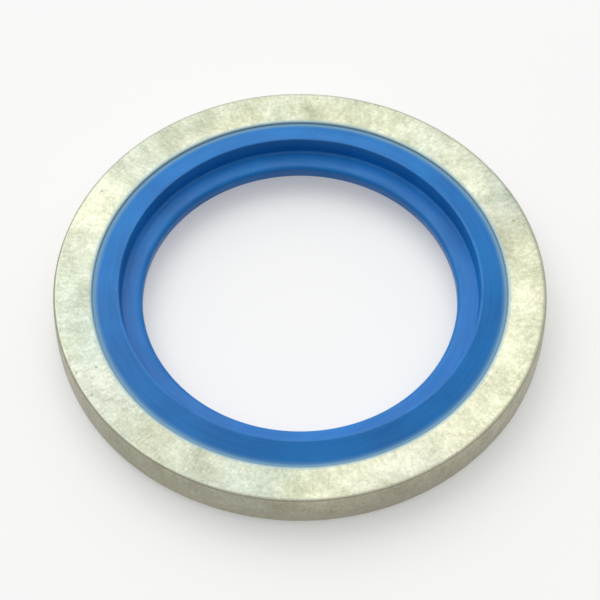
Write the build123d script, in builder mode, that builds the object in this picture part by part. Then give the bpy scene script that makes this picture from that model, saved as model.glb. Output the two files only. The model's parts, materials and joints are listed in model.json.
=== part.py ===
from build123d import *
import os

# Self-centring bonded sealing washer for a G 3/8 pipe thread.
# A flat ring is punched from steel strip, tumbled and zinc plated. A rubber ring is then
# moulded into its bore and bonded there: a sealing bead whose crest stands a little proud
# of the steel on both faces, and inside the bead a thin web that centres the washer on
# the thread. The washer is the same above and below its mid-plane, apart from the rim.
# Lengths are in millimetres. The axis is Z, and the lower crest rests on Z = 0.
# The widths run outwards from the thread: web, bead wall, crest, slope, steel.

# Centring web, on the mid-plane, which the thread pushes through
web_bore = 15.2
web_width = 1.04
web_thickness = 0.8
web_edge_chamfer = 0.1

# Sealing bead, moulded with the web and bonded to the steel
bead_root_radius = 0.12  # in the corner between web and wall
bead_wall_lean = 0.07
crest_width = 0.12  # narrow land that seals
crest_height = 0.3  # above each steel face
bead_slope_width = 1.17
bead_recess = 0.17  # where the rubber meets the bore, below each steel face

# Steel ring
ring_width = 1.9
ring_thickness = 2.0
bore_edge_chamfer = 0.1
rollover_radius = 0.2  # upper rim edge, drawn down as the punch entered the strip
tumbled_radius = 0.15  # lower rim edge, rounded in the tumbling barrel
fracture_height = 0.8  # lower part of the rim, torn instead of sheared
fracture_taper = 0.05  # how far the torn part leans in at the lower face

# Radii where one form meets the next
web_radius = web_bore / 2
bead_radius = web_radius + web_width
crest_inner_radius = bead_radius + bead_wall_lean
crest_outer_radius = crest_inner_radius + crest_width
bond_radius = crest_outer_radius + bead_slope_width
rim_radius = bond_radius + ring_width

# Heights above the mid-plane. Both sections are drawn about it and turned about Z.
web_face = web_thickness / 2
ring_face = ring_thickness / 2
crest_top = ring_face + crest_height
section_plane = Plane.XZ.shift_origin((0, 0, crest_top))

# Steel ring: round-edged at the rim, with a nearly sharp bore
with BuildPart() as metal_ring:
    with BuildSketch(section_plane) as ring_section:
        with BuildLine():
            FilletPolyline(
                (bond_radius, -ring_face),
                (rim_radius - fracture_taper, -ring_face),
                (rim_radius, fracture_height - ring_face),
                (rim_radius, ring_face),
                (bond_radius, ring_face),
                radius=(0, tumbled_radius, 0, rollover_radius, 0),
                close=True,
            )
        make_face()
        bore_corners = ring_section.vertices().group_by(Axis.X)[0]
        chamfer(bore_corners, length=bore_edge_chamfer)
    revolve(axis=Axis.Z)
metal_ring.part.label = "metal_ring"

# Rubber ring: from the bond line a shallow slope climbs to the crest, a steep wall drops
# to the web, and the web ends in the bore that grips the thread. The lower half mirrors it.
with BuildPart() as rubber_seal:
    with BuildSketch(section_plane):
        with BuildLine():
            FilletPolyline(
                (bond_radius, 0),
                (bond_radius, ring_face - bead_recess),
                (crest_outer_radius, crest_top),
                (crest_inner_radius, crest_top),
                (bead_radius, web_face),
                (web_radius + web_edge_chamfer, web_face),
                (web_radius, web_face - web_edge_chamfer),
                (web_radius, 0),
                radius=(0, 0, 0, bead_root_radius, 0, 0),
            )
            mirror(about=Plane.XZ)
        make_face()
    revolve(axis=Axis.Z)
rubber_seal.part.label = "rubber_seal"

os.makedirs("parts", exist_ok=True)
export_step(metal_ring.part, "parts/metal_ring.step")
export_step(rubber_seal.part, "parts/rubber_seal.step")
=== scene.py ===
import json
import math

import bpy
import mathutils
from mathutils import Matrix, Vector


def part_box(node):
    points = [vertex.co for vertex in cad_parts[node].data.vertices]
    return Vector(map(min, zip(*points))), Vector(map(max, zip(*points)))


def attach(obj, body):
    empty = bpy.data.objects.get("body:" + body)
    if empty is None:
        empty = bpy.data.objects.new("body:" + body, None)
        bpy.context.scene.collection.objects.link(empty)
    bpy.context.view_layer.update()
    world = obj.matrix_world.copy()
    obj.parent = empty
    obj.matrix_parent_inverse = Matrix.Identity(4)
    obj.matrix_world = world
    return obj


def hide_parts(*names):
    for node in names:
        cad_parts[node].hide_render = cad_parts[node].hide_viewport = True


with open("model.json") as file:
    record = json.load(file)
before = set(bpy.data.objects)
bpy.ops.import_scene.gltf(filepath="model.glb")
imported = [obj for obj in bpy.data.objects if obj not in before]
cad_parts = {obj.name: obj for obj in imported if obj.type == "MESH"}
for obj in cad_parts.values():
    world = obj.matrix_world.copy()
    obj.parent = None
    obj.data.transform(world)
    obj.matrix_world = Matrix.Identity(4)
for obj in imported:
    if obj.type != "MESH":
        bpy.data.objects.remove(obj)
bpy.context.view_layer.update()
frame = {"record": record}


# ---------------------------------------------------------------------------
# Steel ring. A flat ring punched from 2 mm mild steel strip. The punch draws the upper
# rim edge down and tears the lower part of the rim, a tumbling barrel rounds what is
# left sharp, and the ring is zinc plated with a pale yellow-green passivate.

MM = 0.001

ring_low, ring_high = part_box("metal_ring")
seal_low, seal_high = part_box("rubber_seal")
bond_radius = seal_high.x  # the rubber fills the steel's bore up to here

ring_sizes = {
    "Bore Radius": bond_radius,
    "Rim Radius": ring_high.x,
    "Lower Face": ring_low.z,
    "Upper Face": ring_high.z,
    "Roll-over Radius": 0.20 * MM,
    "Tumbled Radius": 0.15 * MM,
    "Tear Radius": 0.10 * MM,
    "Bore Edge Radius": 0.10 * MM,
    "Fracture Height": 0.80 * MM,
    "Fracture Taper": 0.05 * MM,
    "Wave Depth": 0.03 * MM,
    "Swell Depth": 0.006 * MM,
    "Dent Depth": 0.014 * MM,
    "Tear Depth": 0.035 * MM,
    "Point Spacing": 0.085 * MM,
}
ring_counts = {"Segments": 760, "Rounding Points": 8, "Seed": 5}


def add(tree, kind, settings, *values, **named):
    """Adds a node with its settings and returns its first live output.
    values fill its live inputs in order and named ones go by name, with _ for a space.
    A socket is linked, and anything else is set."""
    node = tree.nodes.new(kind)
    for setting, value in settings.items():
        setattr(node, setting, value)
    live = [socket for socket in node.inputs if socket.enabled]
    filled = list(zip(live, values))
    filled += [(node.inputs[name.replace("_", " ")], value) for name, value in named.items()]
    for socket, value in filled:
        if isinstance(value, bpy.types.NodeSocket):
            tree.links.new(value, socket)
        else:
            socket.default_value = value
    return next(socket for socket in node.outputs if socket.enabled)


# Settings that many nodes share
product = {"operation": "MULTIPLY"}
difference = {"operation": "SUBTRACT"}
product_and_sum = {"operation": "MULTIPLY_ADD"}
eased = {"interpolation_type": "SMOOTHSTEP"}
seeded = {"noise_dimensions": "4D"}
mixed = {"data_type": "RGBA"}
multiplied = {"data_type": "RGBA", "blend_type": "MULTIPLY"}


def new_section_tree(name, sizes, counts):
    """A geometry tree with a named input for each size and count, and the outputs that carry them."""
    tree = bpy.data.node_groups.new(name, "GeometryNodeTree")
    tree.interface.new_socket("Geometry", in_out="OUTPUT", socket_type="NodeSocketGeometry")
    for size in sizes:
        tree.interface.new_socket(size, in_out="INPUT", socket_type="NodeSocketFloat")
    for count in counts:
        tree.interface.new_socket(count, in_out="INPUT", socket_type="NodeSocketInt")
    given = tree.nodes.new("NodeGroupInput").outputs
    return tree, given


def turned(tree, given, corners):
    """Turns a closed section about Z. Each corner is its radius, its height and its rounding.
    Returns the closed ring, and the section's place and the angle at each of its points."""
    index = add(tree, "GeometryNodeInputIndex", {})
    picked = []
    for data_type in ("VECTOR", "FLOAT"):
        switch = tree.nodes.new("GeometryNodeIndexSwitch")
        switch.data_type = data_type
        while len(switch.index_switch_items) < len(corners):
            switch.index_switch_items.new()
        tree.links.new(index, switch.inputs["Index"])
        for item, (radius, height, rounding) in enumerate(corners):
            value = rounding
            if data_type == "VECTOR":
                value = add(tree, "ShaderNodeCombineXYZ", {}, radius, height)
            tree.links.new(value, switch.inputs[item + 1])
        picked.append(switch.outputs[0])
    corner_place, corner_rounding = picked
    line = add(tree, "GeometryNodeMeshLine", {}, len(corners))
    line = add(tree, "GeometryNodeSetPosition", {}, line, Position=corner_place)
    section = add(tree, "GeometryNodeMeshToCurve", {}, line)
    section = add(tree, "GeometryNodeSetSplineCyclic", {}, section, Cyclic=True)
    section = add(tree, "GeometryNodeFilletCurve", {"mode": "POLY"}, section,
                  Count=given["Rounding Points"], Radius=corner_rounding, Limit_Radius=True)

    # Each straight run is cut to the point spacing, and the roundings stay as they are
    place = add(tree, "GeometryNodeInputPosition", {})
    count = add(tree, "GeometryNodeSplineLength", {}).node.outputs["Point Count"]
    following = add(tree, "ShaderNodeMath", {"operation": "ADD"}, index, 1.0)
    following = add(tree, "ShaderNodeMath", {"operation": "MODULO"}, following, count)
    next_place = add(tree, "GeometryNodeFieldAtIndex", {"data_type": "FLOAT_VECTOR"}, place, following)
    run = add(tree, "ShaderNodeVectorMath", {"operation": "DISTANCE"}, place, next_place)
    run = run.node.outputs["Value"]
    cuts = add(tree, "ShaderNodeMath", {"operation": "DIVIDE"}, run, given["Point Spacing"])
    section = add(tree, "GeometryNodeSubdivideCurve", {}, section, cuts)

    # The section is carried round a circle, and each point is then put at its true place
    kept = tree.nodes.new("GeometryNodeCaptureAttribute")
    kept.capture_items.new("VECTOR", "Section Place")
    tree.links.new(section, kept.inputs["Geometry"])
    tree.links.new(place, kept.inputs["Section Place"])
    circle = add(tree, "GeometryNodeCurvePrimitiveCircle", {}, given["Segments"],
                 Radius=given["Point Spacing"])
    share = add(tree, "GeometryNodeSplineParameter", {})
    turn = tree.nodes.new("GeometryNodeCaptureAttribute")
    turn.capture_items.new("FLOAT", "Turn")
    tree.links.new(circle, turn.inputs["Geometry"])
    tree.links.new(share, turn.inputs["Turn"])
    ring = add(tree, "GeometryNodeCurveToMesh", {}, turn.outputs["Geometry"], kept.outputs["Geometry"])
    angle = add(tree, "ShaderNodeMath", product, turn.outputs["Turn"], math.tau)
    return ring, kept.outputs["Section Place"], angle


def placed(tree, ring, place, angle):
    """Puts each point of the ring at its radius and height, round the Z axis."""
    split = add(tree, "ShaderNodeSeparateXYZ", {}, place).node.outputs
    cosine = add(tree, "ShaderNodeMath", {"operation": "COSINE"}, angle)
    sine = add(tree, "ShaderNodeMath", {"operation": "SINE"}, angle)
    x = add(tree, "ShaderNodeMath", product, split["X"], cosine)
    y = add(tree, "ShaderNodeMath", product, split["X"], sine)
    point = add(tree, "ShaderNodeCombineXYZ", {}, x, y, split["Y"])
    ring = add(tree, "GeometryNodeSetPosition", {}, ring, Position=point)
    return add(tree, "GeometryNodeFlipFaces", {}, ring)


def finished_mesh(tree, ring, material, inputs, name):
    """Ends the tree, runs it once and keeps its result as a plain mesh object."""
    ring = add(tree, "GeometryNodeSetShadeSmooth", {}, ring, Shade_Smooth=True)
    ring = add(tree, "GeometryNodeRealizeInstances", {}, ring)
    ring = add(tree, "GeometryNodeSetMaterial", {}, ring, Material=material)
    tree.links.new(ring, tree.nodes.new("NodeGroupOutput").inputs[0])
    maker = bpy.data.objects.new(name + "_maker", bpy.data.meshes.new(name + "_maker"))
    bpy.context.scene.collection.objects.link(maker)
    modifier = maker.modifiers.new("Turned", "NODES")
    modifier.node_group = tree
    for item in tree.interface.items_tree:
        if item.in_out == "INPUT":
            modifier[item.identifier] = inputs[item.name]
    evaluated = maker.evaluated_get(bpy.context.evaluated_depsgraph_get())
    mesh = bpy.data.meshes.new_from_object(evaluated)
    bpy.data.objects.remove(maker)
    mesh.name = name
    piece = bpy.data.objects.new(name, mesh)
    bpy.context.scene.collection.objects.link(piece)
    return piece


def linear(code, alpha=1.0):
    """A hex sRGB colour as the linear values that a shader takes."""
    shares = [int(code[i:i + 2], 16) / 255 for i in (1, 3, 5)]
    return [s / 12.92 if s <= 0.04045 else ((s + 0.055) / 1.055) ** 2.4 for s in shares] + [alpha]


def new_material(name):
    """An empty node material, with its tree and its Principled shader."""
    material = bpy.data.materials.new(name)
    material.use_nodes = True
    return material, material.node_tree, material.node_tree.nodes["Principled BSDF"]


# Bright zinc under a pale yellow-green passivate: a soft satin metal, clouded by the dye and
# by handling, finely grained by the tumbling, and smoother where the barrel rubbed the edges
cloud_width = 7.0 * MM
blush_width = 6.0 * MM
tarnish_width = 4.2 * MM
mottle_width = 1.3 * MM
grain_width = 0.16 * MM  # the real grain, a few hundredths, would be too fine to show
scuff_width = 0.11 * MM
pit_spacing = 0.95 * MM
streak_width = 0.22 * MM
white = linear("#ffffff")
zinc, tree, shader = new_material("tumbled_zinc_plated_steel")
at = add(tree, "ShaderNodeTexCoord", {}).node.outputs

# Where the surface is: on a flat face, on the rim or on a rounded edge between them
facing = add(tree, "ShaderNodeSeparateXYZ", {}, at["Normal"]).node.outputs
axial = add(tree, "ShaderNodeMath", {"operation": "ABSOLUTE"}, facing["Z"])
radial = add(tree, "ShaderNodeVectorMath", product, at["Normal"], (1.0, 1.0, 0.0))
radial = add(tree, "ShaderNodeVectorMath", {"operation": "LENGTH"}, radial).node.outputs["Value"]
flat = add(tree, "ShaderNodeMath", {"operation": "MAXIMUM"}, axial, radial)
edge = add(tree, "ShaderNodeMapRange", {}, flat, 0.86, 0.995, 1.0, 0.0)
rim = add(tree, "ShaderNodeMapRange", {}, radial, 0.45, 0.85)
across = add(tree, "ShaderNodeVectorMath", product, at["Object"], (1.0, 1.0, 0.0))
across = add(tree, "ShaderNodeVectorMath", {"operation": "LENGTH"}, across).node.outputs["Value"]

# Dye clouds from grey-green to straw, a beige blush, and a thinner, greyer plating on the rim
cloud = add(tree, "ShaderNodeTexNoise", {}, at["Object"], Scale=1 / cloud_width, Detail=2.0, Roughness=0.5)
cloud = add(tree, "ShaderNodeMapRange", {}, cloud, 0.34, 0.66)
colour = add(tree, "ShaderNodeMix", mixed, cloud, linear("#c0c9c0"), linear("#dddec6"))
blush = add(tree, "ShaderNodeTexNoise", seeded, at["Object"], W=3.7, Scale=1 / blush_width, Detail=2.0)
blush = add(tree, "ShaderNodeMapRange", {}, blush, 0.46, 0.70, 0.0, 0.50)
colour = add(tree, "ShaderNodeMix", mixed, blush, colour, linear("#d8d4c4"))
greyed = add(tree, "ShaderNodeMath", product, rim, 0.75)
colour = add(tree, "ShaderNodeMix", mixed, greyed, colour, linear("#c6c1b1"))

# Darker tarnish from handling, and the finer mottle of the plating itself
tarnish = add(tree, "ShaderNodeTexNoise", seeded, at["Object"], W=6.6,
              Scale=1 / tarnish_width, Detail=4.0, Roughness=0.6)
tarnish = add(tree, "ShaderNodeMapRange", {}, tarnish, 0.47, 0.68, 0.0, 0.65)
colour = add(tree, "ShaderNodeMix", multiplied, tarnish, colour, linear("#c9cbbc"))
mottle = add(tree, "ShaderNodeTexNoise", {}, at["Object"],
             Scale=1 / mottle_width, Detail=6.0, Roughness=0.75)
mottle = add(tree, "ShaderNodeMapRange", {}, mottle, 0.30, 0.70)
shade = add(tree, "ShaderNodeMix", mixed, mottle, linear("#d2d3cb"), white)
colour = add(tree, "ShaderNodeMix", multiplied, 0.75, colour, shade)

# Tumbling grain, hairline scuffs in two directions, and sparse dark pits
grain = add(tree, "ShaderNodeTexNoise", {}, at["Object"], Scale=1 / grain_width, Detail=3.0, Roughness=0.7)
grain = add(tree, "ShaderNodeMapRange", {}, grain, 0.36, 0.64)
shade = add(tree, "ShaderNodeMix", mixed, grain, linear("#d3d4c6"), white)
colour = add(tree, "ShaderNodeMix", multiplied, 0.60, colour, shade)
scuffs = 0.0
for heading in (0.5, 2.2):
    lay = add(tree, "ShaderNodeMapping", {}, at["Object"], Rotation=(0.0, 0.0, heading))
    lay = add(tree, "ShaderNodeMapping", {}, lay, Scale=(0.045, 1.0, 1.0))
    scuff = add(tree, "ShaderNodeTexNoise", {}, lay, Scale=1 / scuff_width, Detail=1.0)
    scuff = add(tree, "ShaderNodeMapRange", {}, scuff, 0.66, 0.76)
    scuffs = add(tree, "ShaderNodeMath", {"operation": "MAXIMUM"}, scuff, scuffs)
scuffs = add(tree, "ShaderNodeMath", product, scuffs, 0.4)
colour = add(tree, "ShaderNodeMix", mixed, scuffs, colour, linear("#a3a58f"))
pit_cell = add(tree, "ShaderNodeTexVoronoi", {}, at["Object"], Scale=1 / pit_spacing).node.outputs
pits = add(tree, "ShaderNodeMapRange", {}, pit_cell["Distance"], 0.035, 0.085, 1.0, 0.0)
some = add(tree, "ShaderNodeSeparateColor", {}, pit_cell["Color"])
some = add(tree, "ShaderNodeMapRange", {}, some, 0.50, 0.70)
pits = add(tree, "ShaderNodeMath", product, pits, some)
pits = add(tree, "ShaderNodeMath", product, pits, 0.6)
colour = add(tree, "ShaderNodeMix", mixed, pits, colour, linear("#6b6850"))

# The start of each roll-over is rubbed smooth, and its lighter colour there is a painted highlight
painted_edge_highlight = add(tree, "ShaderNodeMapRange", {}, axial, 0.75, 0.92, 0.0, 0.6)
painted_edge_highlight = add(tree, "ShaderNodeMath", product, painted_edge_highlight, edge)
colour = add(tree, "ShaderNodeMix", mixed, painted_edge_highlight, colour, linear("#ebebdb"))
# Painted shade: the rim just past the roll-over is darkened, a painted reflection of the dim horizon
painted_crease_shade = add(tree, "ShaderNodeMapRange", {}, axial, 0.25, 0.50)
painted_crease_shade = add(tree, "ShaderNodeMath", product, painted_crease_shade, rim)
painted_crease_shade = add(tree, "ShaderNodeMath", product, painted_crease_shade, 0.7)
colour = add(tree, "ShaderNodeMix", mixed, painted_crease_shade, colour, linear("#aaa78f"))

# Shear and tear marks run down the rim, and its torn lower part is rougher, and mixed lighter and greyer,
# partly a painted reflection of the white floor
streaks = add(tree, "ShaderNodeMapping", {}, at["Object"], Scale=(1.0, 1.0, 0.07))
streaks = add(tree, "ShaderNodeTexNoise", {}, streaks, Scale=1 / streak_width, Detail=3.0, Roughness=0.65)
height = add(tree, "ShaderNodeSeparateXYZ", {}, at["Object"]).node.outputs["Z"]
torn_level = ring_low.z + ring_sizes["Fracture Height"]
torn = add(tree, "ShaderNodeMapRange", {}, height, torn_level - 0.12 * MM, torn_level + 0.06 * MM, 1.0, 0.0)
torn = add(tree, "ShaderNodeMath", product, torn, rim)
# Partly painted reflection: the torn lower rim is made lighter and greyer, as if it mirrored the white
# floor
torn_grey_and_painted_reflection = add(tree, "ShaderNodeMath", product, torn, 0.45)
colour = add(tree, "ShaderNodeMix", mixed, torn_grey_and_painted_reflection, colour, linear("#c1bcae"))
shade = add(tree, "ShaderNodeMapRange", {}, streaks, 0.30, 0.66)
shade = add(tree, "ShaderNodeMix", mixed, shade, linear("#e9e7dd"), white)
marked = add(tree, "ShaderNodeMath", product, rim, 0.35)
colour = add(tree, "ShaderNodeMix", multiplied, marked, colour, shade)

# Bore edge: a smear of bonding agent and blue rubber, which isn't metal, greys the last of the face; its
# pale colour is also painted light that lifts the shaded crevice at the bond line
smear_and_painted_light = add(tree, "ShaderNodeMapRange", eased, across,
            bond_radius + 0.05 * MM, bond_radius + 0.24 * MM, 0.70, 0.0)
colour = add(tree, "ShaderNodeMix", mixed, smear_and_painted_light, colour, linear("#9ec0c9"))
tree.links.new(colour, shader.inputs["Base Color"])
metal = add(tree, "ShaderNodeMath", difference, 1.0, smear_and_painted_light)
tree.links.new(metal, shader.inputs["Metallic"])

# Satin all over, smoother where it is bright or rubbed, and rougher where it is dull or torn
rough = add(tree, "ShaderNodeMapRange", {}, mottle, 0.0, 1.0, 0.45, 0.37)
rough = add(tree, "ShaderNodeMath", product_and_sum, grain, -0.05, rough)
rough = add(tree, "ShaderNodeMath", product_and_sum, tarnish, 0.06, rough)
rough = add(tree, "ShaderNodeMix", {}, edge, rough, 0.28)
rough = add(tree, "ShaderNodeMix", {}, torn, rough, 0.54)
tree.links.new(rough, shader.inputs["Roughness"])

relief = add(tree, "ShaderNodeBump", {}, 0.8, 0.012 * MM, Height=mottle)
relief = add(tree, "ShaderNodeBump", {}, 1.0, 0.0022 * MM, Height=grain, Normal=relief)
relief = add(tree, "ShaderNodeBump", {"invert": True}, 1.0, 0.006 * MM, Height=pits, Normal=relief)
scored = add(tree, "ShaderNodeMath", product, streaks, rim)
relief = add(tree, "ShaderNodeBump", {}, 1.0, 0.0012 * MM, Height=scored, Normal=relief)
tree.links.new(relief, shader.inputs["Normal"])

tree, given = new_section_tree("Punched Ring", ring_sizes, ring_counts)
torn_radius = add(tree, "ShaderNodeMath", difference, given["Rim Radius"], given["Fracture Taper"])
torn_top = add(tree, "ShaderNodeMath", {"operation": "ADD"}, given["Lower Face"], given["Fracture Height"])
ring, place, angle = turned(tree, given, [
    (given["Bore Radius"], given["Lower Face"], given["Bore Edge Radius"]),
    (torn_radius, given["Lower Face"], given["Tumbled Radius"]),
    (given["Rim Radius"], torn_top, given["Tear Radius"]),
    (given["Rim Radius"], given["Upper Face"], given["Roll-over Radius"]),
    (given["Bore Radius"], given["Upper Face"], given["Bore Edge Radius"]),
])
ring = placed(tree, ring, place, angle)

# The rim is never quite true: a shallow waviness that grows towards the rim, a slight swell
# and tumbling dents all over, and a torn lower rim. All of it only takes metal away.
wave_length = 3.2 * MM
swell_width = 0.9 * MM
dent_spacing = 2.1 * MM
tear_width = 0.35 * MM
spot = add(tree, "GeometryNodeInputPosition", {})
outward = add(tree, "GeometryNodeInputNormal", {})
split = add(tree, "ShaderNodeSeparateXYZ", {}, place).node.outputs
near_rim = add(tree, "ShaderNodeMath", difference, given["Rim Radius"], split["X"])
near_rim = add(tree, "ShaderNodeMapRange", eased, near_rim, 0.0, 0.75 * MM, 1.0, 0.0)
wave = add(tree, "ShaderNodeTexNoise", seeded, spot, given["Seed"], Scale=1 / wave_length, Detail=2.0)
wave = add(tree, "ShaderNodeMath", product, wave, near_rim)
loss = add(tree, "ShaderNodeMath", product, wave, given["Wave Depth"])
swell = add(tree, "ShaderNodeTexNoise", seeded, spot, given["Seed"], Scale=1 / swell_width, Detail=3.0)
loss = add(tree, "ShaderNodeMath", product_and_sum, swell, given["Swell Depth"], loss)
dents = add(tree, "ShaderNodeTexVoronoi", {"voronoi_dimensions": "4D"}, spot, given["Seed"],
            Scale=1 / dent_spacing)
dents = add(tree, "ShaderNodeMapRange", eased, dents, 0.02, 0.13, 1.0, 0.0)
loss = add(tree, "ShaderNodeMath", product_and_sum, dents, given["Dent Depth"], loss)
below = add(tree, "ShaderNodeMath", difference, torn_top, split["Y"])
below = add(tree, "ShaderNodeMapRange", eased, below, -0.02 * MM, 0.15 * MM)
below = add(tree, "ShaderNodeMath", product, below, near_rim)
tear = add(tree, "ShaderNodeVectorMath", product, spot, (1.0, 1.0, 0.35))
tear = add(tree, "ShaderNodeTexNoise", seeded, tear, given["Seed"], Scale=1 / tear_width, Detail=3.0)
tear = add(tree, "ShaderNodeMath", product, tear, below)
loss = add(tree, "ShaderNodeMath", product_and_sum, tear, given["Tear Depth"], loss)

# None of it reaches the bore, where the steel meets the rubber
off_bore = add(tree, "ShaderNodeMath", difference, split["X"], given["Bore Radius"])
off_bore = add(tree, "ShaderNodeMapRange", {}, off_bore, 0.0, 0.12 * MM)
loss = add(tree, "ShaderNodeMath", product, loss, off_bore)
loss = add(tree, "ShaderNodeMath", product, loss, -1.0)
shift = add(tree, "ShaderNodeVectorMath", {"operation": "SCALE"}, outward, Scale=loss)
ring = add(tree, "GeometryNodeSetPosition", {}, ring, Offset=shift)
steel_ring = finished_mesh(tree, ring, zinc, {**ring_sizes, **ring_counts}, "steel_ring")
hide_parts("metal_ring")
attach(steel_ring, "root")


# ---------------------------------------------------------------------------
# Rubber ring. Nitrile rubber, compression moulded into the bore of the steel ring and
# bonded to it in the same heat: a bead whose crest seals on each face, and inside it a
# thin web that grips the thread.

web_radius = frame["record"]["mounts"][0]["dims"]["r_mm"] * MM
web_width = 1.04 * MM
wall_lean = 0.07 * MM
crest_width = 0.12 * MM
bead_recess = 0.17 * MM
flash_height = 0.06 * MM
middle = (seal_low.z + seal_high.z) / 2

# The bead's slope ends in a thin level flash, which laps the bore edge of the steel
slope_foot = ring_high.z - bead_recess
crest_outer = web_radius + web_width + wall_lean + crest_width
flash_width = flash_height * (bond_radius - crest_outer) / (seal_high.z - slope_foot)

seal_sizes = {
    "Bond Radius": bond_radius,
    "Flash Radius": bond_radius - flash_width,
    "Crest Outer Radius": crest_outer,
    "Crest Inner Radius": crest_outer - crest_width,
    "Wall Foot Radius": web_radius + web_width,
    "Web Radius": web_radius,
    "Middle Height": middle,
    "Half Height": seal_high.z - middle,
    "Half Flash": slope_foot + flash_height - middle,
    "Half Web": 0.40 * MM,
    "Bond Rounding": 0.01 * MM,
    "Flash Rounding": 0.10 * MM,
    "Crest Rounding": 0.035 * MM,
    "Root Rounding": 0.12 * MM,
    "Web Edge Rounding": 0.25 * MM,
    "Point Spacing": 0.09 * MM,
}
seal_counts = {"Segments": 600, "Rounding Points": 5}

# Blue nitrile rubber from a turned and polished mould: smooth and half-glossy, with the
# mould's faint turning lines, a little clouding where the cure left a bloom, and fine dust
bloom_width = 2.6 * MM
dust_spacing = 1.1 * MM
wipe_width = 0.13 * MM
turning_pitch = 0.09 * MM  # the mould's real lines, a few hundredths apart, would be too fine to show
skin_width = 0.25 * MM
rubber, tree, shader = new_material("moulded_blue_nitrile")
at = add(tree, "ShaderNodeTexCoord", {}).node.outputs
across = add(tree, "ShaderNodeVectorMath", product, at["Object"], (1.0, 1.0, 0.0))
heading = add(tree, "ShaderNodeVectorMath", {"operation": "NORMALIZE"}, across)
across = add(tree, "ShaderNodeVectorMath", {"operation": "LENGTH"}, across).node.outputs["Value"]
bloom = add(tree, "ShaderNodeTexNoise", {}, at["Object"], Scale=1 / bloom_width, Detail=3.0)
bloom = add(tree, "ShaderNodeMapRange", {}, bloom, 0.35, 0.65)
colour = add(tree, "ShaderNodeMix", mixed, bloom, linear("#0672c2"), linear("#0a7fd2"))
dust = add(tree, "ShaderNodeTexVoronoi", {}, at["Object"], Scale=1 / dust_spacing).node.outputs
specks = add(tree, "ShaderNodeMapRange", {}, dust["Distance"], 0.03, 0.07, 1.0, 0.0)
some = add(tree, "ShaderNodeSeparateColor", {}, dust["Color"])
some = add(tree, "ShaderNodeMapRange", {}, some, 0.80, 0.86, 0.0, 0.25)
specks = add(tree, "ShaderNodeMath", product, specks, some)
colour = add(tree, "ShaderNodeMix", mixed, specks, colour, linear("#8fb6e0"))

# Wipe marks, drawn out along the ring and an eighth of a millimetre wide, smoother and with a painted sheen
# of paler colour, and the bond line, where the rubber thins out over the steel and greys, its pale colour
# partly painted light
wipe_place = add(tree, "ShaderNodeMath", {"operation": "DIVIDE"}, across, wipe_width)
wipe_place = add(tree, "ShaderNodeCombineXYZ", {}, 0.0, 0.0, wipe_place)
wipes = add(tree, "ShaderNodeVectorMath", {"operation": "SCALE"}, heading, Scale=4.0)
wipes = add(tree, "ShaderNodeVectorMath", {"operation": "ADD"}, wipes, wipe_place)
wipes = add(tree, "ShaderNodeTexNoise", {}, wipes, Scale=1.0, Detail=3.0)
wipes = add(tree, "ShaderNodeMapRange", {}, wipes, 0.40, 0.72)
# Painted sheen: the wipe marks are paler in colour as well as smoother
painted_sheen = add(tree, "ShaderNodeMath", product, wipes, 0.16)
colour = add(tree, "ShaderNodeMix", mixed, painted_sheen, colour, linear("#4d95d6"))
# Partly painted light: the pale bond-line colour lifts the shade along the crevice where the rubber meets
# the steel
thinned_and_painted_light = add(tree, "ShaderNodeMapRange", eased, across,
              bond_radius - 0.34 * MM, bond_radius - 0.04 * MM, 0.0, 0.80)
colour = add(tree, "ShaderNodeMix", mixed, thinned_and_painted_light, colour, linear("#7fadc4"))
tree.links.new(colour, shader.inputs["Base Color"])
rough = add(tree, "ShaderNodeMapRange", {}, wipes, 0.0, 1.0, 0.42, 0.30)
tree.links.new(rough, shader.inputs["Roughness"])
shader.inputs["Specular IOR Level"].default_value = 0.35
lines = add(tree, "ShaderNodeTexNoise", {"noise_dimensions": "1D"}, across,
            Scale=1 / turning_pitch, Detail=2.0)
skin = add(tree, "ShaderNodeTexNoise", {}, at["Object"], Scale=1 / skin_width, Detail=3.0)
relief = add(tree, "ShaderNodeBump", {}, 1.0, 0.0025 * MM, Height=lines)
relief = add(tree, "ShaderNodeBump", {}, 1.0, 0.0022 * MM, Height=skin, Normal=relief)
tree.links.new(relief, shader.inputs["Normal"])

# The upper half of the section from the bond line in to the bore, and then its mirror image
tree, given = new_section_tree("Moulded Ring", seal_sizes, seal_counts)
half_section = [
    ("Bond Radius", "Half Flash", "Bond Rounding"),
    ("Flash Radius", "Half Flash", "Flash Rounding"),
    ("Crest Outer Radius", "Half Height", "Crest Rounding"),
    ("Crest Inner Radius", "Half Height", "Crest Rounding"),
    ("Wall Foot Radius", "Half Web", "Root Rounding"),
    ("Web Radius", "Half Web", "Web Edge Rounding"),
]
corners = []
for side, half in (("ADD", half_section), ("SUBTRACT", half_section[::-1])):
    for radius, height, rounding in half:
        level = add(tree, "ShaderNodeMath", {"operation": side}, given["Middle Height"], given[height])
        corners.append((given[radius], level, given[rounding]))
ring, place, angle = turned(tree, given, corners)
ring = placed(tree, ring, place, angle)
rubber_ring = finished_mesh(tree, ring, rubber, {**seal_sizes, **seal_counts}, "rubber_ring")
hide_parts("rubber_seal")
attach(rubber_ring, "root")


# ---------------------------------------------------------------------------
# Floor. A plain sheet of matt white paper under the washer, which keeps its shadow. What the
# camera and the metal see of it is lifted a little, so that it reads as white, and it throws
# no more light on the washer for that.

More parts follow.
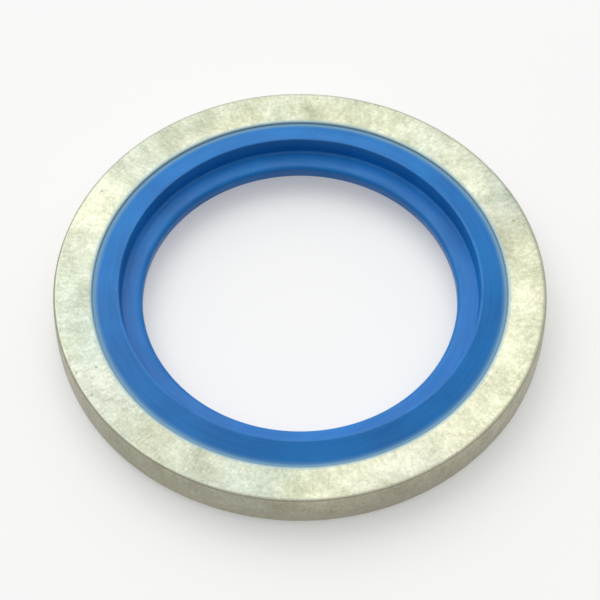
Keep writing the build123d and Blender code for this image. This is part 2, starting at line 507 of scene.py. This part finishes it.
floor_half = 0.6
paper_lift = 0.35
floor_corners = [(x * floor_half, y * floor_half, 0) for x, y in ((-1, -1), (1, -1), (1, 1), (-1, 1))]
floor_mesh = bpy.data.meshes.new("floor")
floor_mesh.from_pydata(floor_corners, [], [(0, 1, 2, 3)])
floor = bpy.data.objects.new("floor", floor_mesh)
bpy.context.scene.collection.objects.link(floor)
paper, tree, shader = new_material("white_paper")
shader.inputs["Base Color"].default_value = linear("#dcdcdb")
shader.inputs["Roughness"].default_value = 0.9
shader.inputs["Specular IOR Level"].default_value = 0.0
shader.inputs["Emission Color"].default_value = white
ray = add(tree, "ShaderNodeLightPath", {}).node.outputs
seen = add(tree, "ShaderNodeMath", {"operation": "MAXIMUM"},
           ray["Is Camera Ray"], ray["Is Transmission Ray"])
seen = add(tree, "ShaderNodeMath", {"operation": "MAXIMUM"}, seen, ray["Is Glossy Ray"])
lift = add(tree, "ShaderNodeMath", product, seen, paper_lift)
tree.links.new(lift, shader.inputs["Emission Strength"])
floor_mesh.materials.append(paper)


# ---------------------------------------------------------------------------
# Light. A soft room, dim at the front and brighter overhead and behind, as inside a light
# tent, and one large soft box high behind the washer. Gloss mirrors the tent's pale walls,
# and past the floor's edge the camera sees white.

bright_side = (-0.10, 0.50, 0.86)  # the way to the brightest part of the tent
world = bpy.data.worlds.new("soft_room")
bpy.context.scene.world = world
world.use_nodes = True
tree = world.node_tree
room = tree.nodes["Background"]
toward = add(tree, "ShaderNodeTexCoord", {}).node.outputs["Generated"]
toward = add(tree, "ShaderNodeVectorMath", {"operation": "DOT_PRODUCT"}, toward, bright_side)
toward = toward.node.outputs["Value"]
strength = add(tree, "ShaderNodeMapRange", eased, toward, -0.1, 0.9, 0.06, 0.78)
mirrored = add(tree, "ShaderNodeMapRange", eased, toward, -0.1, 0.9, 0.60, 0.85)
ray = add(tree, "ShaderNodeLightPath", {}).node.outputs
strength = add(tree, "ShaderNodeMix", {}, ray["Is Glossy Ray"], strength, mirrored)
seen = add(tree, "ShaderNodeMath", {"operation": "MAXIMUM"},
           ray["Is Camera Ray"], ray["Is Transmission Ray"])
strength = add(tree, "ShaderNodeMix", {}, seen, strength, 1.0)
room.inputs["Color"].default_value = white
tree.links.new(strength, room.inputs["Strength"])

box_from = (-0.10, 0.20, 0.325)
lamp_data = bpy.data.lights.new("overhead_soft_box", "AREA")
lamp_data.size = 0.42
lamp_data.energy = 0.67
lamp = bpy.data.objects.new("overhead_soft_box", lamp_data)
lamp.location = box_from
lamp.rotation_euler = mathutils.Vector(box_from).to_track_quat("Z", "Y").to_euler()
bpy.context.scene.collection.objects.link(lamp)


# ---------------------------------------------------------------------------
# Camera. It looks down on the washer as it lies, from about thirteen outer radii away.

elevation = math.radians(56)
distance = 13.5 * ring_high.x
filled_share = 0.82  # of the picture's width
camera_data = bpy.data.cameras.new("camera")
camera = bpy.data.objects.new("camera", camera_data)
bpy.context.scene.collection.objects.link(camera)
camera.location = (0, -distance * math.cos(elevation), middle + distance * math.sin(elevation))
camera.rotation_euler = (math.pi / 2 - elevation, 0, 0)
camera_data.lens = camera_data.sensor_width / 2 * filled_share * distance / ring_high.x
camera_data.clip_start = 0.01
bpy.context.scene.camera = camera
bpy.context.scene.view_settings.view_transform = "Standard"
